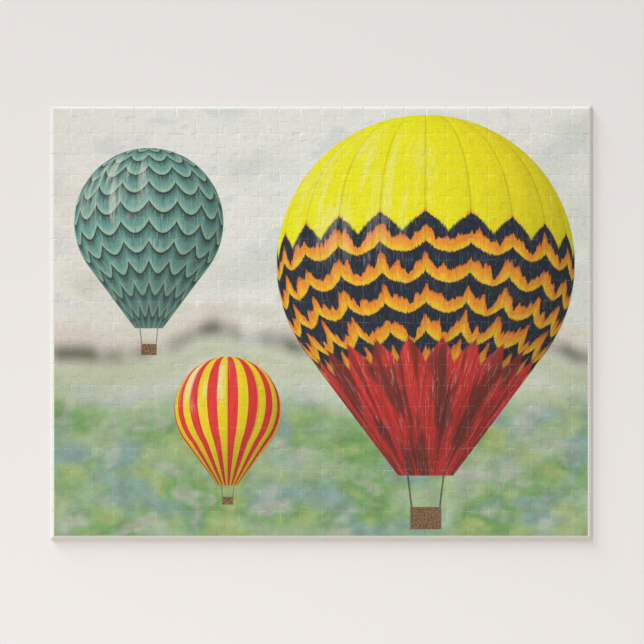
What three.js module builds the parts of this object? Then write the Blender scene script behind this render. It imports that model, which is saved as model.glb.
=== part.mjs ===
import * as THREE from 'three';

// Assembled jigsaw puzzle of 26 x 20 interlocking chipboard pieces, lying picture side up.
// Millimetres, +Z up. The origin is under the middle of the puzzle on the surface it lies on,
// +X runs along the long side and +Y runs up the picture.

// Board
const LENGTH = 508;
const WIDTH = 406.4;
const THICKNESS = 2;

// Ribbon cut. Lines are evenly spaced, and the border takes what is left on each side.
const COLUMNS = 26;
const ROWS = 20;
const COLUMN_PITCH = 19.58;
const ROW_PITCH = 19.73;
const LINE_DRIFT = 0.55;
const CROSSING_DRIFT = 0.4;

// Knob of one piece and the hole of its neighbour, measured from the cut line
const HEAD_RADIUS = 3.35;
const HEAD_RADIUS_DRIFT = 0.2;
const HEAD_REACH = 4.1;
const HEAD_REACH_DRIFT = 0.25;
const HEAD_LEAN = 0.5;
const KNOB_DRIFT = 0.9;
const NECK_HALF_ANGLE = THREE.MathUtils.degToRad(36);
const HEAD_CORNERS = 7;
const SHOULDER = 3.1;
const LINE_DIP = 0.45;
const LINE_DIP_DRIFT = 0.3;
const CUT_SEED = 520;

// Pieces are modelled joined in blocks, and only the cuts around a block are open.
const COLUMNS_IN_BLOCK = [4, 4, 5, 5, 4, 4];
const ROWS_IN_BLOCK = [4, 4, 4, 4, 4];
const BLOCK_GAP = 0.3;

// Printed paper face, in the picture's average colour
const PRINT_COLOUR = 0xb2a57f;
const PRINT_ROUGHNESS = 0.5;

// Corners that turn less than this lie on a straight board edge.
const STRAIGHT_TURN = 1e-6;

// Multiplicative random generator, so that every run cuts the same puzzle
const DRAW_FACTOR = 48271;
const DRAW_MODULUS = 2147483647;
let randomState = CUT_SEED;

// A random offset between minus and plus the given most
function drift(most) {
  randomState = (randomState * DRAW_FACTOR) % DRAW_MODULUS;
  return most * ((2 * randomState) / DRAW_MODULUS - 1);
}

// Places of the cut lines along one side, with the two board edges first and last
function linePlaces(count, pitch, length) {
  const border = (length - (count - 2) * pitch) / 2;
  const places = [-length / 2];
  for (let line = 1; line < count; line += 1) {
    places.push(-length / 2 + border + (line - 1) * pitch + drift(LINE_DRIFT));
  }
  places.push(length / 2);
  return places;
}

// Crossings of the cut lines. One on the board's edge moves only along that edge.
function makeCrossings() {
  const xs = linePlaces(COLUMNS, COLUMN_PITCH, LENGTH);
  const ys = linePlaces(ROWS, ROW_PITCH, WIDTH);
  return ys.map((y, row) =>
    xs.map((x, column) => {
      const dx = drift(CROSSING_DRIFT);
      const dy = drift(CROSSING_DRIFT);
      const inColumns = column > 0 && column < COLUMNS;
      const inRows = row > 0 && row < ROWS;
      return new THREE.Vector2(x + (inColumns ? dx : 0), y + (inRows ? dy : 0));
    }),
  );
}

// One cut from crossing a up to, but without, crossing b. The knob stands on the left when
// side is 1 and on the right when it is -1.
function makeCut(a, b, side) {
  const along = b.clone().sub(a).normalize();
  const across = new THREE.Vector2(-along.y, along.x).multiplyScalar(side);
  const middle = a.distanceTo(b) / 2 + drift(KNOB_DRIFT);
  const radius = HEAD_RADIUS + drift(HEAD_RADIUS_DRIFT);
  const reach = HEAD_REACH + drift(HEAD_REACH_DRIFT);
  const lean = drift(HEAD_LEAN);
  const dip = LINE_DIP + drift(LINE_DIP_DRIFT);
  const at = (s, t) => a.clone().addScaledVector(along, s).addScaledVector(across, t);

  const points = [a, at(middle - SHOULDER, -dip)];
  const sweep = 2 * (Math.PI - NECK_HALF_ANGLE);
  for (let corner = 0; corner < HEAD_CORNERS; corner += 1) {
    const angle = NECK_HALF_ANGLE + (sweep * corner) / (HEAD_CORNERS - 1);
    const s = middle + lean - radius * Math.sin(angle);
    points.push(at(s, reach - radius * Math.cos(angle)));
  }
  points.push(at(middle + SHOULDER, -dip));
  return points;
}

// Knob directions alternate like a chequerboard: each piece has two knobs and two holes.
function knobSide(row, column) {
  return (row + column) % 2 === 0 ? -1 : 1;
}

// Cuts along each line between rows, from left to right. The board's own edges are straight.
function makeRowCuts(crossings) {
  return crossings.map((line, row) => {
    const straight = row === 0 || row === ROWS;
    return line.slice(0, -1).map((a, column) => {
      return straight ? [a] : makeCut(a, line[column + 1], knobSide(row, column));
    });
  });
}

// Cuts along each line between columns, from the near edge upwards
function makeColumnCuts(crossings) {
  return crossings.slice(0, -1).map((line, row) =>
    line.map((a, column) => {
      const straight = column === 0 || column === COLUMNS;
      return straight ? [a] : makeCut(a, crossings[row + 1][column], knobSide(row, column));
    }),
  );
}

// The same cut run the other way, again without its last crossing
function backwards(cut, end) {
  return [end, ...cut.slice(1).reverse()];
}

// Outline of the pieces from column left to right and row low to high, counterclockwise
function blockOutline(cuts, left, right, low, high) {
  const points = [];
  for (let column = left; column < right; column += 1) {
    points.push(...cuts.rows[low][column]);
  }
  for (let row = low; row < high; row += 1) {
    points.push(...cuts.columns[row][right]);
  }
  for (let column = right - 1; column >= left; column -= 1) {
    points.push(...backwards(cuts.rows[high][column], cuts.crossings[high][column + 1]));
  }
  for (let row = high - 1; row >= low; row -= 1) {
    points.push(...backwards(cuts.columns[row][left], cuts.crossings[row + 1][left]));
  }
  return points;
}

// Whether an outline's point is a real corner, so that straight board edges keep only their ends
function isCorner(point, index, points) {
  const before = points.at(index - 1);
  const after = points[(index + 1) % points.length];
  const inwards = point.clone().sub(before).normalize();
  return Math.abs(inwards.cross(after.clone().sub(point).normalize())) > STRAIGHT_TURN;
}

// A counterclockwise outline drawn in by half a gap, except where it is the board's own edge
function drawIn(points) {
  const moved = (a, b) => {
    const onEdge = (a.x === b.x && Math.abs(a.x) === LENGTH / 2) ||
      (a.y === b.y && Math.abs(a.y) === WIDTH / 2);
    const way = b.clone().sub(a).normalize();
    return { inward: new THREE.Vector2(-way.y, way.x), by: onEdge ? 0 : BLOCK_GAP / 2 };
  };
  return points.map((point, index) => {
    const before = moved(points.at(index - 1), point);
    const after = moved(point, points[(index + 1) % points.length]);
    const turn = before.inward.cross(after.inward);
    if (Math.abs(turn) < STRAIGHT_TURN) {
      return point.clone().addScaledVector(before.inward, before.by);
    }
    const x = (before.by * after.inward.y - after.by * before.inward.y) / turn;
    const y = (after.by * before.inward.x - before.by * after.inward.x) / turn;
    return new THREE.Vector2(point.x + x, point.y + y);
  });
}

function makeBlock(name, outline) {
  const shape = new THREE.Shape(drawIn(outline.filter(isCorner)));
  const geometry = new THREE.ExtrudeGeometry(shape, { depth: THICKNESS, bevelEnabled: false });
  const material = new THREE.MeshStandardMaterial({
    color: PRINT_COLOUR,
    roughness: PRINT_ROUGHNESS,
    metalness: 0,
  });
  const block = new THREE.Mesh(geometry, material);
  block.name = name;
  return block;
}

function makePuzzle() {
  const puzzle = new THREE.Group();
  const crossings = makeCrossings();
  const cuts = {
    crossings,
    rows: makeRowCuts(crossings),
    columns: makeColumnCuts(crossings),
  };
  let low = 0;
  ROWS_IN_BLOCK.forEach((rows, blockRow) => {
    let left = 0;
    COLUMNS_IN_BLOCK.forEach((columns, blockColumn) => {
      const outline = blockOutline(cuts, left, left + columns, low, low + rows);
      puzzle.add(makeBlock(`block_r${blockRow + 1}_c${blockColumn + 1}`, outline));
      left += columns;
    });
    low += rows;
  });
  return puzzle;
}

export default makePuzzle();
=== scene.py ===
import math

import bmesh
import bpy
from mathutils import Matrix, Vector


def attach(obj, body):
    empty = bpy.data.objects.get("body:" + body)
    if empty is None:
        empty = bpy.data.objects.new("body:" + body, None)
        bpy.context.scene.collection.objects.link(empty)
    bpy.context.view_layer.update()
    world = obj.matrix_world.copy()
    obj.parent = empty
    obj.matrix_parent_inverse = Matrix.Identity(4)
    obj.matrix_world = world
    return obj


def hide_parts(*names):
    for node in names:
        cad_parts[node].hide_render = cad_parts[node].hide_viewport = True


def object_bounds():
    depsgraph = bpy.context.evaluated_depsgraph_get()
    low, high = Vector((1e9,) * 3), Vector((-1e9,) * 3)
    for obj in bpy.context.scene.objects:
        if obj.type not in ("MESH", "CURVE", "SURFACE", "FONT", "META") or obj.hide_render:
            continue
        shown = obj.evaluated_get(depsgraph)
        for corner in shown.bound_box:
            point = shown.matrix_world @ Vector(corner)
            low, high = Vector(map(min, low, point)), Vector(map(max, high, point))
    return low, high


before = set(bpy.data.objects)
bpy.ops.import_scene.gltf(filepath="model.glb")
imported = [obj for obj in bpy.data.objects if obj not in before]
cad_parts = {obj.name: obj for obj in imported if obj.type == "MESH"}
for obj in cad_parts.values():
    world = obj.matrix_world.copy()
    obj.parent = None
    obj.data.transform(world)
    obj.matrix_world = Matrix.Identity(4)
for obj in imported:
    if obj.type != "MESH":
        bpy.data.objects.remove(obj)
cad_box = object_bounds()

bl_info = {
    "name": "Assembled jigsaw puzzle",
    "version": (1, 0, 0),
    "blender": (4, 5, 0),
    "location": "View3D > Sidebar > Puzzle",
    "description": "Lays an assembled jigsaw puzzle with a printed balloon picture on a pale floor",
    "category": "Add Mesh",
}

MM = 0.001
BOARD_LENGTH = cad_box[1].x - cad_box[0].x
BOARD_WIDTH = cad_box[1].y - cad_box[0].y
BOARD_THICKNESS = cad_box[1].z - cad_box[0].z

# The same blocks of joined pieces as the solids have
COLUMNS_IN_BLOCK = (4, 4, 5, 5, 4, 4)
ROWS_IN_BLOCK = (4, 4, 4, 4, 4)

# Name of the number on each corner that says how worn the print is there
WEAR = "edge wear"

# A knob's round edge rubs less paper off than the straight sides and corners.
KNOB_WEAR = 0.8

# Order of the materials on each block
PRINT_SLOT, EDGE_SLOT, BACK_SLOT = range(3)

# A face whose normal rises or falls by more than this is on the printed side or underneath.
FACING = 0.5

# Edges that turn more than this stay sharp.
SHARP_TURN = math.radians(50)

# Distance within which a corner counts as lying on a splitting plane
CUT_SNAP = 1e-6


def tint(name, description, default):
    """A setting that holds a linear colour."""
    return bpy.props.FloatVectorProperty(
        name=name, description=description, default=default, subtype="COLOR",
        size=3, min=0, max=1)


class PuzzleCut(bpy.types.PropertyGroup):
    """The ribbon cut: evenly spaced wavy lines with a knob on every piece side."""

    columns: bpy.props.IntProperty(
        name="Columns", description="Pieces along the long side", default=26, min=2)
    rows: bpy.props.IntProperty(
        name="Rows", description="Pieces along the short side", default=20, min=2)
    column_pitch: bpy.props.FloatProperty(
        name="Column pitch", description="Distance between the cut lines across the board",
        default=19.58 * MM, unit="LENGTH")
    row_pitch: bpy.props.FloatProperty(
        name="Row pitch", description="Distance between the cut lines along the board",
        default=19.73 * MM, unit="LENGTH")
    line_drift: bpy.props.FloatProperty(
        name="Line drift", description="Most that a whole line lies off its even place",
        default=0.55 * MM, unit="LENGTH")
    crossing_drift: bpy.props.FloatProperty(
        name="Crossing drift", description="Most that a crossing lies off its lines",
        default=0.4 * MM, unit="LENGTH")
    head_radius: bpy.props.FloatProperty(
        name="Head radius", description="Radius of a knob's round head",
        default=3.35 * MM, unit="LENGTH")
    head_radius_drift: bpy.props.FloatProperty(
        name="Head radius drift", description="Most that one head's radius differs",
        default=0.2 * MM, unit="LENGTH")
    head_reach: bpy.props.FloatProperty(
        name="Head reach", description="Distance from the cut line to the middle of the head",
        default=4.1 * MM, unit="LENGTH")
    head_reach_drift: bpy.props.FloatProperty(
        name="Head reach drift", description="Most that one head's reach differs",
        default=0.25 * MM, unit="LENGTH")
    head_lean: bpy.props.FloatProperty(
        name="Head lean", description="Most that a head leans to one side of its neck",
        default=0.5 * MM, unit="LENGTH")
    knob_drift: bpy.props.FloatProperty(
        name="Knob drift", description="Most that a knob stands off the middle of its side",
        default=0.9 * MM, unit="LENGTH")
    neck_half_angle: bpy.props.FloatProperty(
        name="Neck half angle", description="Half of the head's circle that the neck takes",
        default=math.radians(36), subtype="ANGLE")
    head_corners: bpy.props.IntProperty(
        name="Head corners", description="Points round each head", default=9, min=5)
    shoulder: bpy.props.FloatProperty(
        name="Shoulder", description="Distance from a knob's middle to where its neck flares out",
        default=3.1 * MM, unit="LENGTH")
    line_dip: bpy.props.FloatProperty(
        name="Line dip", description="How far the line dips away from the knob at the shoulders",
        default=0.45 * MM, unit="LENGTH")
    line_dip_drift: bpy.props.FloatProperty(
        name="Line dip drift", description="Most that one dip differs",
        default=0.3 * MM, unit="LENGTH")
    seed: bpy.props.IntProperty(
        name="Seed", description="Start of the random draws", default=520, min=1)


class PuzzleBoard(bpy.types.PropertyGroup):
    """The die-cut edge of each piece, its seat and the board's own colours."""

    cut_gap: bpy.props.FloatProperty(
        name="Cut gap", description="Width of the open cut between two pieces",
        default=0.08 * MM, unit="LENGTH")
    roll_width: bpy.props.FloatProperty(
        name="Roll width", description="Width of the rounded edge that the die leaves",
        default=0.8 * MM, unit="LENGTH")
    roll_depth: bpy.props.FloatProperty(
        name="Roll depth", description="How far the die presses the printed edge down",
        default=0.11 * MM, unit="LENGTH")
    knob_ease: bpy.props.FloatProperty(
        name="Knob ease", description="How much less the die presses the edge round a knob",
        default=0.4, subtype="FACTOR", min=0, max=1)
    sink: bpy.props.FloatProperty(
        name="Sink", description="Most that a piece's middle sits below the board's full height",
        default=0.12 * MM, unit="LENGTH")
    lean: bpy.props.FloatProperty(
        name="Lean", description="Most slope of a piece that doesn't lie quite flat",
        default=math.radians(0.25), subtype="ANGLE")
    seat_seed: bpy.props.IntProperty(
        name="Seat seed", description="Start of the random seats", default=2026, min=1)
    edge_drop: bpy.props.FloatProperty(
        name="Edge drop", description="How much lower the die presses the board's outer edge",
        default=0.42 * MM, unit="LENGTH")
    edge_roll: bpy.props.FloatProperty(
        name="Edge roll", description="Width of the rounding along the board's outer edge",
        default=2.6 * MM, unit="LENGTH")
    rim: bpy.props.FloatVectorProperty(
        name="Rim", description="Average width of the bare paper at the ends and the long sides",
        default=(3.45 * MM, 2.5 * MM), size=2, unit="LENGTH")
    picture_shift: bpy.props.FloatVectorProperty(
        name="Picture shift", description="How far off centre the picture is printed, X and Y",
        default=(-0.35 * MM, 0.4 * MM), size=2, unit="LENGTH")
    wear: bpy.props.FloatProperty(
        name="Wear", description="How much bare paper shows at the cuts",
        default=0.17, subtype="FACTOR", min=0, max=1)
    rub: bpy.props.FloatProperty(
        name="Rub", description="How much lighter the print is rubbed at the cuts",
        default=0.14, subtype="FACTOR", min=0, max=1)
    # Painted shade: the lit and shaded sides of the linen weave are painted into the print's colour
    # with this strength
    linen: bpy.props.FloatProperty(
        name="Linen", description="Strength of the paper's linen finish in the colour",
        default=0.13, subtype="FACTOR", min=0, max=1)
    grain: bpy.props.FloatProperty(
        name="Grain", description="Strength of the print's soft unevenness",
        default=0.08, subtype="FACTOR", min=0, max=1)
    paper: tint(
        name="Paper", description="Bare paper at a cut and at the rim", default=(0.69, 0.66, 0.60))
    core: tint(name="Core", description="Chipboard between the papers", default=(0.42, 0.39, 0.33))
    back: tint(name="Back", description="Bare grey board underneath", default=(0.50, 0.48, 0.43))


class PuzzlePrint(bpy.types.PropertyGroup):
    """The printed picture: places of its balloons, and its inks as linear colours."""

    large_place: bpy.props.FloatVectorProperty(
        name="Large balloon", description="X, Y and radius of the large balloon",
        default=(0.098, 0.055, 0.140), size=3, unit="LENGTH")
    scaled_place: bpy.props.FloatVectorProperty(
        name="Scaled balloon", description="X, Y and radius of the scaled balloon",
        default=(-0.162, 0.094, 0.070), size=3, unit="LENGTH")
    striped_place: bpy.props.FloatVectorProperty(
        name="Striped balloon", description="X, Y and radius of the striped balloon",
        default=(-0.088, -0.082, 0.050), size=3, unit="LENGTH")
    sky: tint(name="Sky", description="Misty sky", default=(0.605, 0.61, 0.53))
    cloud: tint(name="Cloud", description="Brighter sky", default=(0.735, 0.725, 0.655))
    haze: tint(name="Haze", description="Warm haze at the left", default=(0.7, 0.645, 0.56))
    lilac: tint(name="Lilac", description="Cool shade in the sky", default=(0.58, 0.585, 0.575))
    blush: tint(
        name="Blush", description="Pinkish glow over the far trees", default=(0.58, 0.47, 0.37))
    moss: tint(
        name="Moss", description="Yellow-green glow under the far trees",
        default=(0.42, 0.46, 0.27))
    olive: tint(name="Olive", description="Far trees", default=(0.13, 0.135, 0.09))
    meadow: tint(
        name="Meadow", description="Pale green of the valley", default=(0.30, 0.40, 0.245))
    leaf: tint(
        name="Leaf", description="Strong green of the valley", default=(0.135, 0.295, 0.085))
    straw: tint(name="Straw", description="Yellow-green of the valley", default=(0.34, 0.4, 0.15))
    dew: tint(name="Dew", description="Blue-grey of the valley", default=(0.2, 0.31, 0.3))
    stone: tint(name="Stone", description="Pinkish grey of the valley", default=(0.43, 0.41, 0.35))
    yellow: tint(
        name="Yellow", description="Crown of the large balloon", default=(0.75, 0.71, 0.006))
    lemon: tint(name="Lemon", description="Pale threads of the crown", default=(0.78, 0.77, 0.05))
    gold: tint(name="Gold", description="Deep side of the crown", default=(0.72, 0.54, 0.01))
    amber: tint(
        name="Amber", description="Bright side of an orange band", default=(0.78, 0.47, 0.02))
    orange: tint(name="Orange", description="Middle of an orange band", default=(0.76, 0.26, 0.02))
    rust: tint(name="Rust", description="Deep side of an orange band", default=(0.54, 0.105, 0.02))
    ink: tint(name="Ink", description="Dark bands and outlines", default=(0.016, 0.021, 0.031))
    slate: tint(name="Slate", description="Sheen on the dark bands", default=(0.075, 0.105, 0.15))
    red: tint(name="Red", description="Foot of the large balloon", default=(0.68, 0.036, 0.03))
    maroon: tint(name="Maroon", description="Folds in the red cloth", default=(0.16, 0.03, 0.02))
    fern: tint(name="Fern", description="Dark root of a scale", default=(0.045, 0.1, 0.085))
    teal: tint(name="Teal", description="Middle of a scale", default=(0.125, 0.29, 0.25))
    seafoam: tint(name="Seafoam", description="Pale rim of a scale", default=(0.33, 0.5, 0.36))
    wicker: tint(name="Wicker", description="Basket", default=(0.24, 0.13, 0.05))
    glare: tint(name="Glare", description="Light on glossy folds", default=(0.84, 0.8, 0.7))


class PuzzleStage(bpy.types.PropertyGroup):
    """The floor, the lights and the camera."""

    floor: tint(name="Floor", description="Pale matt floor", default=(0.805, 0.762, 0.724))
    floor_side: bpy.props.FloatProperty(
        name="Floor side", description="Length of the square floor's side",
        default=40.0, unit="LENGTH")
    frame_width: bpy.props.FloatProperty(
        name="Frame width", description="What the picture's width shows at the printed face",
        default=0.6048, unit="LENGTH")
    camera_height: bpy.props.FloatProperty(
        name="Camera height", description="Height of the camera over the printed face",
        default=1.6, unit="LENGTH")
    camera_offset: bpy.props.FloatVectorProperty(
        name="Camera offset", description="Where the camera stands off the board's middle, X and Y",
        default=(0.6 * MM, 0.5 * MM), size=2, unit="LENGTH")
    key_strength: bpy.props.FloatProperty(
        name="Key strength", description="Strength of the low light from the upper left",
        default=6.5)
    key_turn: bpy.props.FloatProperty(
        name="Key turn", description="Direction that the low light comes from, from +X",
        default=math.radians(126), subtype="ANGLE")
    key_height: bpy.props.FloatProperty(
        name="Key height", description="Height of the low light over the floor",
        default=math.radians(5), subtype="ANGLE")
    key_spread: bpy.props.FloatProperty(
        name="Key spread", description="Width of the low light, which softens the shadow",
        default=math.radians(10), subtype="ANGLE")
    side_strength: bpy.props.FloatProperty(
        name="Side strength", description="Strength of the higher light from the far side",
        default=2.0)
    side_turn: bpy.props.FloatProperty(
        name="Side turn", description="Direction that the higher light comes from, from +X",
        default=math.radians(112), subtype="ANGLE")
    side_height: bpy.props.FloatProperty(
        name="Side height", description="Height of the higher light over the floor",
        default=math.radians(18), subtype="ANGLE")
    side_spread: bpy.props.FloatProperty(
        name="Side spread", description="Width of the higher light, which softens the shadow",
        default=math.radians(16), subtype="ANGLE")
    fill_power: bpy.props.FloatProperty(
        name="Fill power", description="Power of the large soft light high over the near side",
        default=29.0, unit="POWER")
    fill_size: bpy.props.FloatProperty(
        name="Fill size", description="Width of the large soft light",
        default=1.6, unit="LENGTH")
    fill_place: bpy.props.FloatVectorProperty(
        name="Fill place", description="Where the large soft light hangs",
        default=(-0.6, -1.2, 2.2), size=3, unit="LENGTH")
    key_colour: tint(
        name="Key colour", description="Cool daylight of the two soft lights",
        default=(0.80, 0.885, 1.0))
    room: bpy.props.FloatProperty(
        name="Room", description="Strength of the even light from all round", default=0.37)
    room_colour: tint(
        name="Room colour", description="Warm tone of the even light", default=(1.0, 0.94, 0.87))


# Multiplicative random generator, with the numbers that the part's source has
DRAW_FACTOR = 48271
DRAW_MODULUS = 2147483647


class Drift:
    """Seeded random offsets between minus and plus a given most."""

    def __init__(self, seed):
        self.state = seed

    def __call__(self, most):
        self.state = self.state * DRAW_FACTOR % DRAW_MODULUS
        return most * (2 * self.state / DRAW_MODULUS - 1)


def line_places(count, pitch, length, most, drift):
    """Places of the cut lines along one side, with the board's edges first and last."""
    border = (length - (count - 2) * pitch) / 2
    inner = [-length / 2 + border + line * pitch + drift(most) for line in range(count - 1)]
    return [-length / 2, *inner, length / 2]


def make_crossings(cut, drift):
    """Rows of crossings, from the near edge up. One on the board's edge stays on that edge."""
    xs = line_places(cut.columns, cut.column_pitch, BOARD_LENGTH, cut.line_drift, drift)
    ys = line_places(cut.rows, cut.row_pitch, BOARD_WIDTH, cut.line_drift, drift)
    crossings = []
    for row, y in enumerate(ys):
        line = []
        for column, x in enumerate(xs):
            dx = drift(cut.crossing_drift) * (0 < column < cut.columns)
            dy = drift(cut.crossing_drift) * (0 < row < cut.rows)
            line.append(Vector((x + dx, y + dy)))
        crossings.append(line)
    return crossings


def make_cut(a, b, side, cut, drift):
    """Points of one cut from crossing a up to, but without, b. Side 1 has its knob on the left."""
    along = (b - a).normalized()
    across = Vector((-along.y, along.x)) * side
    middle = (b - a).length / 2 + drift(cut.knob_drift)
    radius = cut.head_radius + drift(cut.head_radius_drift)
    reach = cut.head_reach + drift(cut.head_reach_drift)
    lean = drift(cut.head_lean)
    dip = cut.line_dip + drift(cut.line_dip_drift)
    points = [a, a + along * (middle - cut.shoulder) - across * dip]
    sweep = 2 * (math.pi - cut.neck_half_angle)
    for corner in range(cut.head_corners):
        angle = cut.neck_half_angle + sweep * corner / (cut.head_corners - 1)
        forward = middle + lean - radius * math.sin(angle)
        points.append(a + along * forward + across * (reach - radius * math.cos(angle)))
    points.append(a + along * (middle + cut.shoulder) - across * dip)
    return points


def knob_side(row, column):
    """Knobs alternate like a chequerboard, so each piece has two knobs and two holes."""
    return -1 if (row + column) % 2 == 0 else 1


class CutPattern:
    """Every cut of the puzzle: along the rows, then along the columns."""

    def __init__(self, cut):
        drift = Drift(cut.seed)
        self.crossings = make_crossings(cut, drift)

        def cut_between(a, b, row, column, straight):
            return [a] if straight else make_cut(a, b, knob_side(row, column), cut, drift)

        self.rows = [
            [cut_between(a, line[column + 1], row, column, straight=row in (0, cut.rows))
             for column, a in enumerate(line[:-1])]
            for row, line in enumerate(self.crossings)]
        self.columns = [
            [cut_between(a, self.crossings[row + 1][column], row, column,
                         straight=column in (0, cut.columns))
             for column, a in enumerate(line)]
            for row, line in enumerate(self.crossings[:-1])]

    def outline(self, row, column):
        """Counterclockwise outline of one piece. Each point says whether it is on a knob."""
        sides = (
            (self.rows[row][column], False),
            (self.columns[row][column + 1], False),
            ((self.crossings[row + 1][column + 1], *self.rows[row + 1][column][1:]), True),
            ((self.crossings[row + 1][column], *self.columns[row][column][1:]), True),
        )
        for (corner, *others), backwards in sides:
            yield corner, False
            for place in range(len(others)):
                point = others[-1 - place] if backwards else others[place]
                yield point, 0 < place < len(others) - 1


def seat_piece(face, board, drift):
    """Sinks and leans one piece's top a little, and never above the board's full height."""
    middle = face.calc_center_median()
    across_x = drift(board.lean)
    across_y = drift(board.lean)
    sink = (board.sink + drift(board.sink)) / 2
    rises = [across_x * (v.co.x - middle.x) + across_y * (v.co.y - middle.y) for v in face.verts]
    sink = max(sink, max(rises))
    for vertex, rise in zip(face.verts, rises):
        vertex.co.z += rise - sink


def margins(vertex):
    """How far a vertex lies inside the board's edges, across the length and the width."""
    return BOARD_LENGTH / 2 - abs(vertex.co.x), BOARD_WIDTH / 2 - abs(vertex.co.y)


def press_outer_edge(bm, board):
    """Slopes the printed side down towards the board's own edge."""
    for half, axis in ((BOARD_LENGTH / 2, Vector((1, 0, 0))), (BOARD_WIDTH / 2, Vector((0, 1, 0)))):
        for outwards in (axis, -axis):
            bmesh.ops.bisect_plane(
                bm, geom=[*bm.verts, *bm.edges, *bm.faces], dist=CUT_SNAP,
                plane_co=outwards * (half - board.edge_roll), plane_no=outwards)
    for vertex in bm.verts:
        inside = min(margins(vertex))
        if vertex.co.z > BOARD_THICKNESS / 2 and inside < board.edge_roll:
            vertex.co.z -= board.edge_drop * (1 - inside / board.edge_roll)


def outline_pieces(bm, pattern, rows, columns):
    """A flat face for each piece of a block, with its wear on the corners."""
    wear = bm.verts.layers.float.new(WEAR)
    for row in rows:
        for column in columns:
            corners = []
            for point, on_knob in pattern.outline(row, column):
                corner = bm.verts.new((*point, 0))
                corner[wear] = KNOB_WEAR if on_knob else 1
                corners.append(corner)
            bm.faces.new(corners)


def press_cut_edges(bm, tops, board):
    """Rounds the printed edge of each piece down to the cut, and less round a knob."""
    wear = bm.verts.layers.float[WEAR]
    roll = bmesh.ops.inset_individual(
        bm, faces=tops, thickness=board.roll_width, depth=board.roll_depth,
        use_even_offset=True)["faces"]
    for face in tops:
        for vertex in face.verts:
            vertex[wear] = 0
    for vertex in {vertex for face in roll for vertex in face.verts}:
        if 0 < vertex[wear] < 1:
            vertex.co.z += board.roll_depth * board.knob_ease


def build_block(name, pattern, rows, columns, board, drift, materials):
    """One object holding the separate pieces of one block, each a closed body."""
    bm = bmesh.new()
    outline_pieces(bm, pattern, rows, columns)
    open_cut = bmesh.ops.inset_individual(
        bm, faces=bm.faces[:], thickness=board.cut_gap / 2, use_even_offset=True)
    bmesh.ops.delete(bm, geom=open_cut["faces"], context="FACES")
    raised = bmesh.ops.extrude_face_region(bm, geom=bm.faces[:])["geom"]
    lifted = [item for item in raised if isinstance(item, bmesh.types.BMVert)]
    tops = [item for item in raised if isinstance(item, bmesh.types.BMFace)]
    bmesh.ops.translate(bm, verts=lifted, vec=(0, 0, BOARD_THICKNESS - board.roll_depth))
    for top in tops:
        seat_piece(top, board, drift)
    bm.normal_update()
    press_cut_edges(bm, tops, board)
    press_outer_edge(bm, board)
    dress_faces(bm, board)
    mesh = bpy.data.meshes.new(name)
    bm.to_mesh(mesh)
    bm.free()
    for material in materials:
        mesh.materials.append(material)
    block = bpy.data.objects.new(name, mesh)
    bpy.context.scene.collection.objects.link(block)
    return block


def dress_faces(bm, board):
    """Print on top, chipboard on the cut, bare board underneath. Only the cuts are smooth."""
    bm.normal_update()
    wear = bm.verts.layers.float[WEAR]
    for face in bm.faces:
        rise = face.normal.z
        if rise > FACING:
            face.material_index = PRINT_SLOT
        elif rise < -FACING:
            face.material_index = BACK_SLOT
        else:
            face.material_index = EDGE_SLOT
        at_cut = any(vertex[wear] for vertex in face.verts)
        on_rim = sum(min(margins(vertex)) < board.cut_gap for vertex in face.verts) > 1
        face.smooth = at_cut and not on_rim and rise > -FACING
    for edge in bm.edges:
        edge.smooth = edge.calc_face_angle(0) < SHARP_TURN


class Field:
    """A number at every point of a surface. Arithmetic on fields adds Math nodes."""

    def __init__(self, tree, socket):
        self.tree = tree
        self.socket = socket

    def math(self, operation, *others):
        node = self.tree.nodes.new("ShaderNodeMath")
        node.operation = operation
        for place, value in zip(node.inputs, (self, *others)):
            plug(self.tree, value, place)
        return Field(self.tree, node.outputs[0])

    def __add__(self, other):
        return self.math("ADD", other)

    def __sub__(self, other):
        return self.math("SUBTRACT", other)

    def __mul__(self, other):
        return self.math("MULTIPLY", other)

    def __truediv__(self, other):
        return self.math("DIVIDE", other)

    def __abs__(self):
        return self.math("ABSOLUTE")

    def invert(self):
        """One minus the field."""
        return self * -1 + 1

    def least(self, other):
        return self.math("MINIMUM", other)

    def most(self, other):
        return self.math("MAXIMUM", other)

    def part(self):
        """The fraction over the whole number below."""
        return self.math("FRACT")

    def off_middle(self):
        """How far a field from 0 to 1 lies over its middle."""
        return self - 0.5

    def root(self):
        return self.most(0.0).math("SQRT")

    def step(self, low, high):
        """0 below low, 1 above high and smooth between. Low may be the larger."""
        node = self.tree.nodes.new("ShaderNodeMapRange")
        node.interpolation_type = "SMOOTHSTEP"
        plug(self.tree, self, node.inputs["Value"])
        plug(self.tree, low, node.inputs["From Min"])
        plug(self.tree, high, node.inputs["From Max"])
        return Field(self.tree, node.outputs[0])

    def near(self, width):
        """1 where the field is 0, falling smoothly to 0 at this width on either side."""
        return abs(self).step(width, 0.0)


class Paint:
    """A colour at every point of a surface. Each coat adds a Mix node."""

    def __init__(self, tree, value):
        self.tree = tree
        self.value = value

    def coat(self, ink, cover=1.0, blend="MIX"):
        """Another colour laid over this one, as far as it covers."""
        node = self.tree.nodes.new("ShaderNodeMix")
        node.data_type = "RGBA"
        node.blend_type = blend
        plug(self.tree, cover, pick(node.inputs, "Factor_Float"))
        plug(self.tree, self, pick(node.inputs, "A_Color"))
        plug(self.tree, ink, pick(node.inputs, "B_Color"))
        return Paint(self.tree, pick(node.outputs, "Result_Color"))

    def times(self, field):
        """This colour made darker or lighter by a field."""
        grey = self.tree.nodes.new("ShaderNodeCombineColor")
        for place in grey.inputs:
            plug(self.tree, field, place)
        return self.coat(grey.outputs[0], blend="MULTIPLY")


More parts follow.
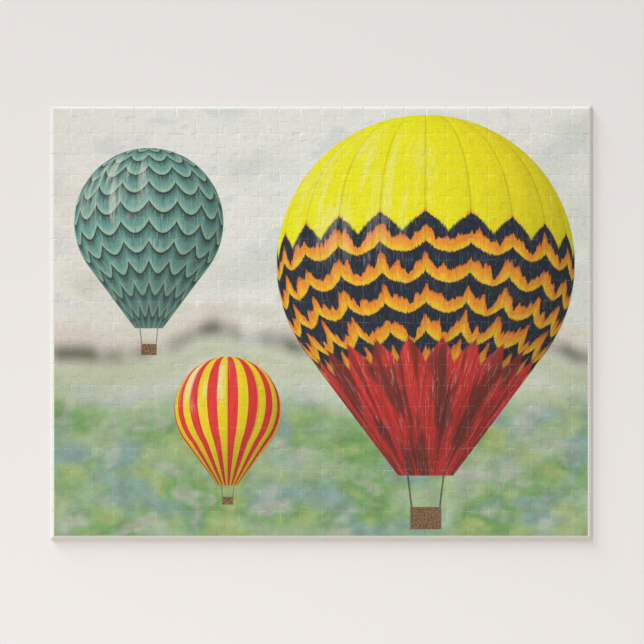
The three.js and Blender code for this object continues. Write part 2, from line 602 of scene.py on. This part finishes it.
def plug(tree, value, place):
    """Links a field, paint or socket to an input, or sets the input to a plain value."""
    if isinstance(value, Field):
        value = value.socket
    if isinstance(value, Paint):
        value = value.value
    if isinstance(value, bpy.types.NodeSocket):
        tree.links.new(value, place)
    elif place.type == "RGBA":
        place.default_value = (*value, 1.0)
    else:
        place.default_value = value


def pick(sockets, identifier):
    """The one of a Mix node's many sockets that has this identifier."""
    return next(socket for socket in sockets if socket.identifier == identifier)


def noise(tree, vector, size, seed=0.0, detail=2.0, roughness=0.5):
    """Soft random field round 0.5, whose blotches have this width and height in millimetres."""
    placed = tree.nodes.new("ShaderNodeMapping")
    placed.inputs["Location"].default_value = (seed, seed, 0.0)
    placed.inputs["Scale"].default_value = (1 / size[0], 1 / size[1], 1.0)
    plug(tree, vector, placed.inputs["Vector"])
    node = tree.nodes.new("ShaderNodeTexNoise")
    node.noise_dimensions = "2D"
    plug(tree, placed.outputs[0], node.inputs["Vector"])
    node.inputs["Scale"].default_value = 1.0
    node.inputs["Detail"].default_value = detail
    node.inputs["Roughness"].default_value = roughness
    return Field(tree, node.outputs["Fac"])


def combine(tree, x, y):
    """A vector of two fields."""
    node = tree.nodes.new("ShaderNodeCombineXYZ")
    plug(tree, x, node.inputs["X"])
    plug(tree, y, node.inputs["Y"])
    return node.outputs[0]


def place_in_millimetres(tree):
    """The vector of a point on the board, and its three fields."""
    where = tree.nodes.new("ShaderNodeTexCoord")
    scaled = tree.nodes.new("ShaderNodeMapping")
    scaled.inputs["Scale"].default_value = (1 / MM, 1 / MM, 1 / MM)
    tree.links.new(where.outputs["Object"], scaled.inputs["Vector"])
    split = tree.nodes.new("ShaderNodeSeparateXYZ")
    tree.links.new(scaled.outputs[0], split.inputs[0])
    return (scaled.outputs[0], *(Field(tree, socket) for socket in split.outputs))


def new_material(name):
    """A material, its node tree and its shader."""
    material = bpy.data.materials.new(name)
    material.use_nodes = True
    tree = material.node_tree
    shader = next(node for node in tree.nodes if node.type == "BSDF_PRINCIPLED")
    return material, tree, shader


# Balloon silhouette in radii: a ball, and a cone that leaves it below its middle
CONE_START = -0.6
CONE_HALF = math.sqrt(1 - CONE_START ** 2)
CONE_SLOPE = -CONE_START / CONE_HALF
MOUTH = -1.42

# Length of cloth down the cone for each radius of height
CONE_CLOTH = 1.2

# Basket and ropes in radii. The ropes spread this much for each radius that they rise.
BASKET_TOP = -1.63
BASKET_FOOT = -1.78
BASKET_HALF = 0.105
ROPE_HALF = 0.006
ROPE_FOOT = 0.9 * BASKET_HALF
ROPE_SPREAD = 0.12

# Width and length of the cloth's fine streaks and of its broad folds, in millimetres
FIBRE_SIZE = (1.3, 14.0)
FOLD_SIZE = (11.0, 90.0)

# Height of the cloth panels that a balloon's gores are sewn from, in millimetres
PANEL_HEIGHT = 15.5

# The picture sees each balloon from a little below, lit from the upper left.
VIEW_TILT = math.radians(13)
LIGHT_FROM = Vector((-0.52, 0.55, 0.65)).normalized()

# How far billows, folds and streaks turn the cloth in that light
BILLOW_TURN = 0.12
FOLD_TURN = 0.5
FIBRE_TURN = 0.5

# The share of its colour that the cloth keeps on its darkest side, what the light adds to it,
# and what a seam and a panel's tape take off
DARK_SIDE = 0.56
LIGHT_ADDS = 0.50
SEAM_SHADE = 0.20
TAPE_SHADE = 0.07

# Half of the soft border that keeps a printed shape's outline from being jagged, in millimetres
PRINT_BLUR = 0.5

# What the balloon group is given and what it makes of it
BALLOON_GIVEN = ("X", "Y", "Centre X", "Centre Y", "Radius", "Gores")
BALLOON_MADE = (
    "Envelope", "Round", "Drop", "Across", "Light", "Fibre", "Fold", "Basket", "Ropes")


def balloon_group():
    """Node group that maps a point of the picture onto the cloth of a balloon."""
    group = bpy.data.node_groups.new("balloon shape", "ShaderNodeTree")
    for name in BALLOON_GIVEN:
        group.interface.new_socket(name, in_out="INPUT", socket_type="NodeSocketFloat")
    for name in BALLOON_MADE:
        group.interface.new_socket(name, in_out="OUTPUT", socket_type="NodeSocketFloat")
    given = group.nodes.new("NodeGroupInput")
    made = group.nodes.new("NodeGroupOutput")
    x, y, centre_x, centre_y, radius, gores = (
        Field(group, given.outputs[name]) for name in BALLOON_GIVEN)

    dx = (x - centre_x) / radius
    dy = (y - centre_y) / radius
    blur = radius.math("POWER", -1.0) * PRINT_BLUR
    on_ball = dy.most(CONE_START)
    down_cone = (dy - CONE_START).least(0.0)
    half = (on_ball * on_ball).invert().root() + down_cone * CONE_SLOPE
    within = (half - abs(dx)).least(dy.invert()).least(dy - MOUTH)
    envelope = within.step(blur * -1, blur)

    dz = (half * half - dx * dx).root()
    turned_y = dy * math.cos(VIEW_TILT) - dz * math.sin(VIEW_TILT)
    taper = down_cone * (CONE_SLOPE / CONE_HALF) + 1
    turned_z = dz * math.cos(VIEW_TILT) + on_ball * taper * math.sin(VIEW_TILT)
    longitude = dx.math("ARCTAN2", turned_z)
    drop = turned_y.most(CONE_START).least(1.0).math("ARCCOSINE")
    drop = drop - (turned_y - CONE_START).least(0.0) * CONE_CLOTH
    across = (longitude * gores / (2 * math.pi)).part() * 2 - 1
    light = dx * LIGHT_FROM.x + dy * LIGHT_FROM.y + dz * LIGHT_FROM.z

    cloth = combine(group, longitude * radius, drop * radius)
    fibre = noise(group, cloth, FIBRE_SIZE, seed=7.0, detail=3.0, roughness=0.6)
    fold = noise(group, cloth, FOLD_SIZE, seed=3.0, detail=3.0)

    over = dy - BASKET_TOP
    wicker = (abs(dx) * -1 + BASKET_HALF).least(over * -1).least(dy - BASKET_FOOT)
    off_rope = abs(abs(dx) - (over * ROPE_SPREAD + ROPE_FOOT))
    ropes = (off_rope * -1 + ROPE_HALF).least(over).least(dy * -1 + MOUTH)
    for name, field in zip(BALLOON_MADE, (
            envelope, longitude, drop, across, light, fibre, fold,
            wicker.step(blur * -1, blur), ropes.step(blur * -1, blur))):
        plug(group, field, made.inputs[name])
    return group


class Balloon:
    """One balloon in the picture, as the fields that its colours are worked out from."""

    def __init__(self, tree, group, x, y, place, gores):
        node = tree.nodes.new("ShaderNodeGroup")
        node.node_tree = group
        centre_x, centre_y, radius = (value / MM for value in place)
        for name, value in zip(BALLOON_GIVEN, (x, y, centre_x, centre_y, radius, float(gores))):
            plug(tree, value, node.inputs[name])
        (self.envelope, self.round, self.drop, self.across, self.light, self.fibre, self.fold,
         self.basket, self.ropes) = (Field(tree, node.outputs[name]) for name in BALLOON_MADE)
        self.cloth = combine(tree, self.round * radius, self.drop * radius)
        self.billow = self.across * self.across
        self.panel = self.drop * (radius / PANEL_HEIGHT)

    def shaded(self, paint, inks, gloss=0.5):
        """Cloth in the picture's light, with its billows, seams and glossy folds."""
        lit = self.light - self.across * BILLOW_TURN + self.fold.off_middle() * FOLD_TURN
        bright = lit.step(-0.6, 0.9) * LIGHT_ADDS + DARK_SIDE
        seam = abs(self.across).step(0.90, 0.99) * -SEAM_SHADE + 1
        tape = self.panel.part().off_middle().near(0.05) * -TAPE_SHADE + 1
        paint = paint.times(bright * seam * tape)
        shine = (self.light + self.fibre.off_middle() * FIBRE_TURN).step(0.74, 1.04)
        return paint.coat(inks.glare, shine * self.fold.step(0.46, 0.62) * gloss)


# The far trees, in millimetres: height of their lowest crest over the picture's middle, how much
# higher the others swell, half of their width, and the places and half widths of the glows
CREST_LOW = -70
CREST_SWELL = 90
TREES_HALF = 16
GLOW_OVER = 13
GLOW_OVER_HALF = 24
GLOW_UNDER = 20
GLOW_UNDER_HALF = 26

# How much brighter the sky gets upwards, and darker to the right
SKY_SLOPE = 0.22


def paint_sky(tree, inks, vector, x, y):
    """A soft sky with far trees, out of focus."""
    cloud = noise(tree, vector, (130, 80), seed=2.0)
    patch = noise(tree, vector, (48, 30), seed=9.0)
    high = y.step(-60.0, 170.0)
    low = y.step(150.0, -60.0)
    to_right = x.step(40.0, 220.0)
    to_left = (x + y * 0.3).step(0.0, -260.0)
    bright = cloud + high * SKY_SLOPE - to_right * SKY_SLOPE
    sky = Paint(tree, inks.sky).coat(inks.cloud, bright.step(0.42, 0.66))
    sky = sky.coat(inks.haze, to_left * 0.6)
    sky = sky.coat(inks.moss, patch.step(0.52, 0.74) * low * 0.45)
    sky = sky.coat(inks.lilac, patch.step(0.47, 0.27) * 0.6)

    along = combine(tree, x, 0.0)
    crest = noise(tree, along, (150, 1), seed=3.0) * CREST_SWELL + CREST_LOW
    above = y - crest
    thick = noise(tree, along, (85, 1), seed=11.0).step(0.40, 0.60)
    glow_over = (above - GLOW_OVER).near(GLOW_OVER_HALF)
    glow_under = (above + GLOW_UNDER).near(GLOW_UNDER_HALF)
    sky = sky.coat(inks.blush, glow_over * (thick * 0.4 + 0.25))
    sky = sky.coat(inks.moss, glow_under * 0.75)
    return sky.coat(inks.olive, above.near(TREES_HALF) * (thick * 0.75 + 0.2))


# The valley's green, in millimetres: where it starts, where it is full, how much its edge swells
VALLEY_START = -72.0
VALLEY_FULL = -128.0
VALLEY_SWELL = 60


def paint_meadow(tree, inks, vector):
    """A green valley floor in soft blotches."""
    broad = noise(tree, vector, (84, 50), seed=21.0, detail=1.5)
    blotch = noise(tree, vector, (36, 26), seed=33.0)
    cool = noise(tree, vector, (56, 36), seed=47.0, detail=1.5)
    tuft = noise(tree, vector, (16, 13), seed=61.0)
    meadow = Paint(tree, inks.meadow).coat(inks.leaf, broad.step(0.32, 0.64))
    meadow = meadow.coat(inks.straw, blotch.step(0.40, 0.76) * 0.8)
    meadow = meadow.coat(inks.dew, cool.step(0.46, 0.72) * 0.75)
    meadow = meadow.coat(inks.stone, blotch.step(0.50, 0.26) * 0.6)
    return meadow.times(tuft * 0.6 + 0.70)


# The large balloon: bands for each radian down from its top, where the crown's yellow ends and
# the foot's red starts, how far their tongues reach, and half of the border between two inks
BANDS = 4.8
CROWN_END = 1.405
FOOT_START = 2.455
TONGUE = 0.16
INK_BLUR = 0.015


def paint_large(tree, inks, balloon):
    """Yellow crown, orange and dark scalloped bands, red foot."""
    ragged = balloon.fibre.off_middle() * 0.5
    wander = balloon.fold.off_middle()
    rows = balloon.drop * BANDS + balloon.billow * 0.45 + wander * 0.6 + ragged * 0.4
    off_dark = rows.part().off_middle()
    off_orange = (rows + 0.5).part().off_middle()
    gold = Paint(tree, inks.orange).coat(inks.amber, off_orange.step(-0.06, 0.20))
    gold = gold.coat(inks.rust, off_orange.step(-0.10, -0.26) * 0.85)
    gold = gold.coat(inks.rust, balloon.fibre.step(0.56, 0.70) * 0.55)
    gold = gold.coat(inks.amber, balloon.fibre.step(0.44, 0.30) * 0.6)
    dark = Paint(tree, inks.ink).coat(inks.slate, balloon.fibre.step(0.52, 0.74) * 0.65)
    width = wander * -0.5 - balloon.billow * 0.09 + 0.29
    banded = gold.coat(dark, (abs(off_dark) - width).step(0.025, -0.025))

    tongue = abs(balloon.across).invert() * TONGUE
    yellow = Paint(tree, inks.yellow).coat(inks.gold, balloon.round.step(-0.4, 1.1) * 0.6)
    yellow = yellow.coat(inks.lemon, balloon.fibre.step(0.50, 0.68) * 0.4)
    red = Paint(tree, inks.red).coat(inks.maroon, balloon.fold.step(0.50, 0.32) * 0.8)
    red = red.coat(inks.maroon, balloon.fibre.step(0.52, 0.68) * 0.45)
    shade = noise(tree, balloon.cloth, (46, 60), seed=71.0)
    red = red.coat(inks.maroon, shade.step(0.56, 0.38) * 0.85)
    crease = (balloon.fold - 0.56).near(0.022) * balloon.fibre.step(0.42, 0.60)
    red = red.coat(inks.glare, crease * 0.35)
    crown = balloon.drop - tongue + ragged * 0.12
    crown = crown.step(CROWN_END + INK_BLUR, CROWN_END - INK_BLUR)
    foot = balloon.drop + tongue + ragged * 0.12
    foot = foot.step(FOOT_START - INK_BLUR, FOOT_START + INK_BLUR)
    inked = banded.coat(yellow, crown).coat(red, foot)
    return balloon.shaded(inked, inks, gloss=foot * 0.25 + 0.2)


# Rows of scales for each radian down from the scaled balloon's top
SCALE_ROWS = 3.6


def paint_scaled(tree, inks, balloon):
    """Rows of teal scales, pale at their rims, with dark outlines."""
    rows = balloon.drop * SCALE_ROWS + balloon.billow * 0.6
    within = rows.part()
    scale = Paint(tree, inks.fern).coat(inks.teal, within.step(0.05, 0.55))
    scale = scale.coat(inks.seafoam, within.step(0.55, 0.92) * 0.8)
    scale = scale.coat(inks.fern, balloon.fibre.step(0.54, 0.70) * 0.5)
    scale = scale.coat(inks.seafoam, balloon.fibre.step(0.46, 0.32) * 0.4)
    outline = abs(within.off_middle()).step(0.42, 0.48)
    scale = scale.coat(inks.ink, outline * balloon.drop.step(3.1, 2.3) * 0.9)
    return balloon.shaded(scale, inks)


# Pairs of stripes for each radian round the striped balloon
STRIPE_PAIRS = 2.5


def paint_striped(tree, inks, balloon):
    """Upright gores in red and yellow."""
    other = (balloon.round * STRIPE_PAIRS).part().step(0.48, 0.52)
    red = Paint(tree, inks.red).coat(inks.maroon, balloon.fibre.step(0.54, 0.70) * 0.4)
    return balloon.shaded(red.coat(inks.gold, other), inks)


def paint_picture(tree, inks, vector, x, y):
    """The sky and the valley, with three balloons before them."""
    rise = noise(tree, combine(tree, x, 0.0), (190, 1), seed=23.0) * VALLEY_SWELL
    valley = (y - rise).step(VALLEY_START, VALLEY_FULL)
    picture = paint_sky(tree, inks, vector, x, y).coat(paint_meadow(tree, inks, vector), valley)
    shape = balloon_group()
    weave = noise(tree, vector, (1.6, 1.1), seed=5.0, detail=1.0)
    wicker = Paint(tree, inks.wicker).coat(inks.ink, weave.step(0.5, 0.6) * 0.85)
    for paint, place, gores in (
            (paint_striped, inks.striped_place, 10),
            (paint_scaled, inks.scaled_place, 16),
            (paint_large, inks.large_place, 20)):
        balloon = Balloon(tree, shape, x, y, place, gores)
        picture = picture.coat(inks.ink, balloon.ropes * 0.8)
        picture = picture.coat(wicker, balloon.basket)
        picture = picture.coat(paint(tree, inks, balloon), balloon.envelope)
    return picture


# The print starts to break at this much wear.
BREAKS_AT = 0.58

# Half of the border between the print and the bare rim, in millimetres
RIM_BLUR = 0.15


def wear_print(tree, picture, board, vector, x, y):
    """The picture rubbed pale and broken at the cuts, with bare paper round it."""
    worn = tree.nodes.new("ShaderNodeAttribute")
    worn.attribute_name = WEAR
    patchy = noise(tree, vector, (26, 26), seed=29.0).step(0.24, 0.62)
    cracked = Field(tree, worn.outputs["Fac"]).step(BREAKS_AT, 1.0) * patchy
    picture = picture.times(cracked * board.rub + 1)
    shift_x, shift_y = (value / MM for value in board.picture_shift)
    beyond_x = abs(x - shift_x) - (BOARD_LENGTH / 2 - board.rim[0]) / MM
    beyond_y = abs(y - shift_y) - (BOARD_WIDTH / 2 - board.rim[1]) / MM
    bare = beyond_x.most(beyond_y).step(-RIM_BLUR, RIM_BLUR)
    return picture.coat(board.paper, (cracked * board.wear).most(bare))


# Linen finish: a thread's length and width in millimetres, and how deep the weave is pressed
THREAD_LENGTH = 11.0
THREAD_WIDTH = 0.9
LINEN_DEPTH = 0.02 * MM

# Roughness of the print, what the weave adds to it, and the print's specular level
PRINT_ROUGHNESS = 0.42
LINEN_ROUGHNESS = 0.12
PRINT_SPECULAR = 0.28


def make_print(board, inks):
    """Satin linen-finish paper with the picture."""
    material, tree, shader = new_material("printed paper")
    vector, x, y, _ = place_in_millimetres(tree)
    upright = noise(tree, vector, (THREAD_WIDTH, THREAD_LENGTH), seed=13.0, detail=1.0)
    level = noise(tree, vector, (THREAD_LENGTH, THREAD_WIDTH), seed=17.0, detail=1.0)
    linen = upright + level
    grain = noise(tree, vector, (7, 6), seed=37.0, detail=3.0, roughness=0.6)
    # Painted shade of the linen weave, lighter and darker along its threads, with a random soft
    # grain in the print
    painted_weave_shade_and_grain = (linen - 1) * board.linen + grain.off_middle() * board.grain + 1
    picture = paint_picture(tree, inks, vector, x, y).times(painted_weave_shade_and_grain)
    picture = wear_print(tree, picture, board, vector, x, y)
    plug(tree, picture, shader.inputs["Base Color"])
    plug(tree, linen * LINEN_ROUGHNESS + PRINT_ROUGHNESS, shader.inputs["Roughness"])
    shader.inputs["Specular IOR Level"].default_value = PRINT_SPECULAR
    bump = tree.nodes.new("ShaderNodeBump")
    bump.inputs["Strength"].default_value = 0.5
    bump.inputs["Distance"].default_value = LINEN_DEPTH
    plug(tree, linen, bump.inputs["Height"])
    tree.links.new(bump.outputs[0], shader.inputs["Normal"])
    return material


def darkened(colour, share):
    """The same colour with only this share of its light."""
    return tuple(share * value for value in colour)


# How far the paper's edge reaches down the cut, and half of its soft border, in millimetres
PAPER_REACH = 0.4
PAPER_BLUR = 0.05


def make_edge(board):
    """The cut through the board: printed paper over fibrous chipboard."""
    material, tree, shader = new_material("chipboard cut")
    vector, *_, height = place_in_millimetres(tree)
    fibre = tree.nodes.new("ShaderNodeTexNoise")
    plug(tree, vector, fibre.inputs["Vector"])
    fibre.inputs["Scale"].default_value = 3.0
    fibre.inputs["Detail"].default_value = 4.0
    fibre.inputs["Roughness"].default_value = 0.7
    pale = Field(tree, fibre.outputs["Fac"]).step(0.35, 0.65)
    core = Paint(tree, darkened(board.core, share=0.7)).coat(board.core, pale)
    paper_foot = BOARD_THICKNESS / MM - PAPER_REACH
    paper = height.step(paper_foot - PAPER_BLUR, paper_foot + PAPER_BLUR)
    plug(tree, core.coat(board.paper, paper), shader.inputs["Base Color"])
    shader.inputs["Roughness"].default_value = 0.9
    return material


def make_back(board):
    """Bare grey board with fibre flecks."""
    material, tree, shader = new_material("grey board back")
    vector, *_ = place_in_millimetres(tree)
    pale = noise(tree, vector, (0.9, 0.9), detail=5.0, roughness=0.7).step(0.36, 0.56)
    flecked = Paint(tree, darkened(board.back, share=0.62)).coat(board.back, pale)
    plug(tree, flecked, shader.inputs["Base Color"])
    shader.inputs["Roughness"].default_value = 0.85
    return material


class PUZZLE_OT_lay_pieces(bpy.types.Operator):
    """Lay the interlocking pieces, one object for each block of the solids"""

    bl_idname = "puzzle.lay_pieces"
    bl_label = "Lay Puzzle Pieces"

    def execute(self, context):
        scene = context.scene
        board = scene.puzzle_board
        pattern = CutPattern(scene.puzzle_cut)
        drift = Drift(board.seat_seed)
        materials = (make_print(board, scene.puzzle_print), make_edge(board), make_back(board))
        low = 0
        for block_row, rows in enumerate(ROWS_IN_BLOCK, start=1):
            left = 0
            for block_column, columns in enumerate(COLUMNS_IN_BLOCK, start=1):
                block = build_block(
                    f"pieces_r{block_row}_c{block_column}", pattern, range(low, low + rows),
                    range(left, left + columns), board, drift, materials)
                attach(block, "root")
                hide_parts(f"block_r{block_row}_c{block_column}")
                left += columns
            low += rows
        return {"FINISHED"}


class PUZZLE_OT_set_stage(bpy.types.Operator):
    """Lay the pale floor and set the lights and the camera"""

    bl_idname = "puzzle.set_stage"
    bl_label = "Set Stage"

    def execute(self, context):
        stage = context.scene.puzzle_stage
        lay_floor(stage)
        hang_lights(stage)
        aim_camera(stage)
        context.scene.view_settings.view_transform = "Standard"
        return {"FINISHED"}


def lay_floor(stage):
    """A large matt square under the board."""
    bm = bmesh.new()
    bmesh.ops.create_grid(bm, x_segments=1, y_segments=1, size=stage.floor_side / 2)
    mesh = bpy.data.meshes.new("floor")
    bm.to_mesh(mesh)
    bm.free()
    material, tree, shader = new_material("pale floor")
    plug(tree, stage.floor, shader.inputs["Base Color"])
    shader.inputs["Roughness"].default_value = 0.9
    shader.inputs["Specular IOR Level"].default_value = 0.1
    mesh.materials.append(material)
    floor = bpy.data.objects.new("floor", mesh)
    bpy.context.scene.collection.objects.link(floor)


def hang_lights(stage):
    """Even light from all round, two soft lights that cast no glare, and a large fill."""
    world = bpy.data.worlds.new("room")
    bpy.context.scene.world = world
    world.use_nodes = True
    background = world.node_tree.nodes["Background"]
    background.inputs["Color"].default_value = (*stage.room_colour, 1.0)
    background.inputs["Strength"].default_value = stage.room

    for name in ("key", "side"):
        strength, turn, height, spread = (
            getattr(stage, f"{name}_{part}") for part in ("strength", "turn", "height", "spread"))
        light = bpy.data.lights.new(name, "SUN")
        light.energy = strength
        light.angle = spread
        light.color = stage.key_colour
        level = math.cos(height)
        lamp = hang(light, Vector((
            level * math.cos(turn), level * math.sin(turn), math.sin(height))))
        lamp.visible_glossy = False

    fill = bpy.data.lights.new("fill", "AREA")
    fill.shape = "DISK"
    fill.size = stage.fill_size
    fill.energy = stage.fill_power
    hang(fill, Vector(stage.fill_place))


def hang(light, place):
    """Puts a light at its place, shining at the middle of the board."""
    lamp = bpy.data.objects.new(light.name, light)
    lamp.location = place
    lamp.rotation_euler = (-place).to_track_quat("-Z", "Y").to_euler()
    bpy.context.scene.collection.objects.link(lamp)
    return lamp


def aim_camera(stage):
    """A camera that looks straight down on the board."""
    data = bpy.data.cameras.new("camera")
    data.sensor_width = 36.0
    data.lens = data.sensor_width * stage.camera_height / stage.frame_width
    camera = bpy.data.objects.new("camera", data)
    camera.location = (*stage.camera_offset, BOARD_THICKNESS + stage.camera_height)
    bpy.context.scene.collection.objects.link(camera)
    bpy.context.scene.camera = camera


class PUZZLE_PT_sidebar(bpy.types.Panel):
    """The puzzle's operators and settings"""

    bl_label = "Jigsaw Puzzle"
    bl_space_type = "VIEW_3D"
    bl_region_type = "UI"
    bl_category = "Puzzle"

    def draw(self, context):
        layout = self.layout
        layout.operator(PUZZLE_OT_lay_pieces.bl_idname)
        layout.operator(PUZZLE_OT_set_stage.bl_idname)
        for name in ("puzzle_cut", "puzzle_board", "puzzle_print", "puzzle_stage"):
            box = layout.box()
            group = getattr(context.scene, name)
            for prop in group.bl_rna.properties:
                if prop.identifier not in ("rna_type", "name"):
                    box.prop(group, prop.identifier)


SETTINGS = {
    "puzzle_cut": PuzzleCut,
    "puzzle_board": PuzzleBoard,
    "puzzle_print": PuzzlePrint,
    "puzzle_stage": PuzzleStage,
}
CLASSES = (*SETTINGS.values(), PUZZLE_OT_lay_pieces, PUZZLE_OT_set_stage, PUZZLE_PT_sidebar)


def register():
    for item in CLASSES:
        bpy.utils.register_class(item)
    for name, group in SETTINGS.items():
        setattr(bpy.types.Scene, name, bpy.props.PointerProperty(type=group))


def unregister():
    for name in SETTINGS:
        delattr(bpy.types.Scene, name)
    for item in reversed(CLASSES):
        bpy.utils.unregister_class(item)


def main():
    """Lays the puzzle on its stage."""
    register()
    bpy.ops.puzzle.set_stage()
    bpy.ops.puzzle.lay_pieces()


if __name__ == "__main__":
    main()
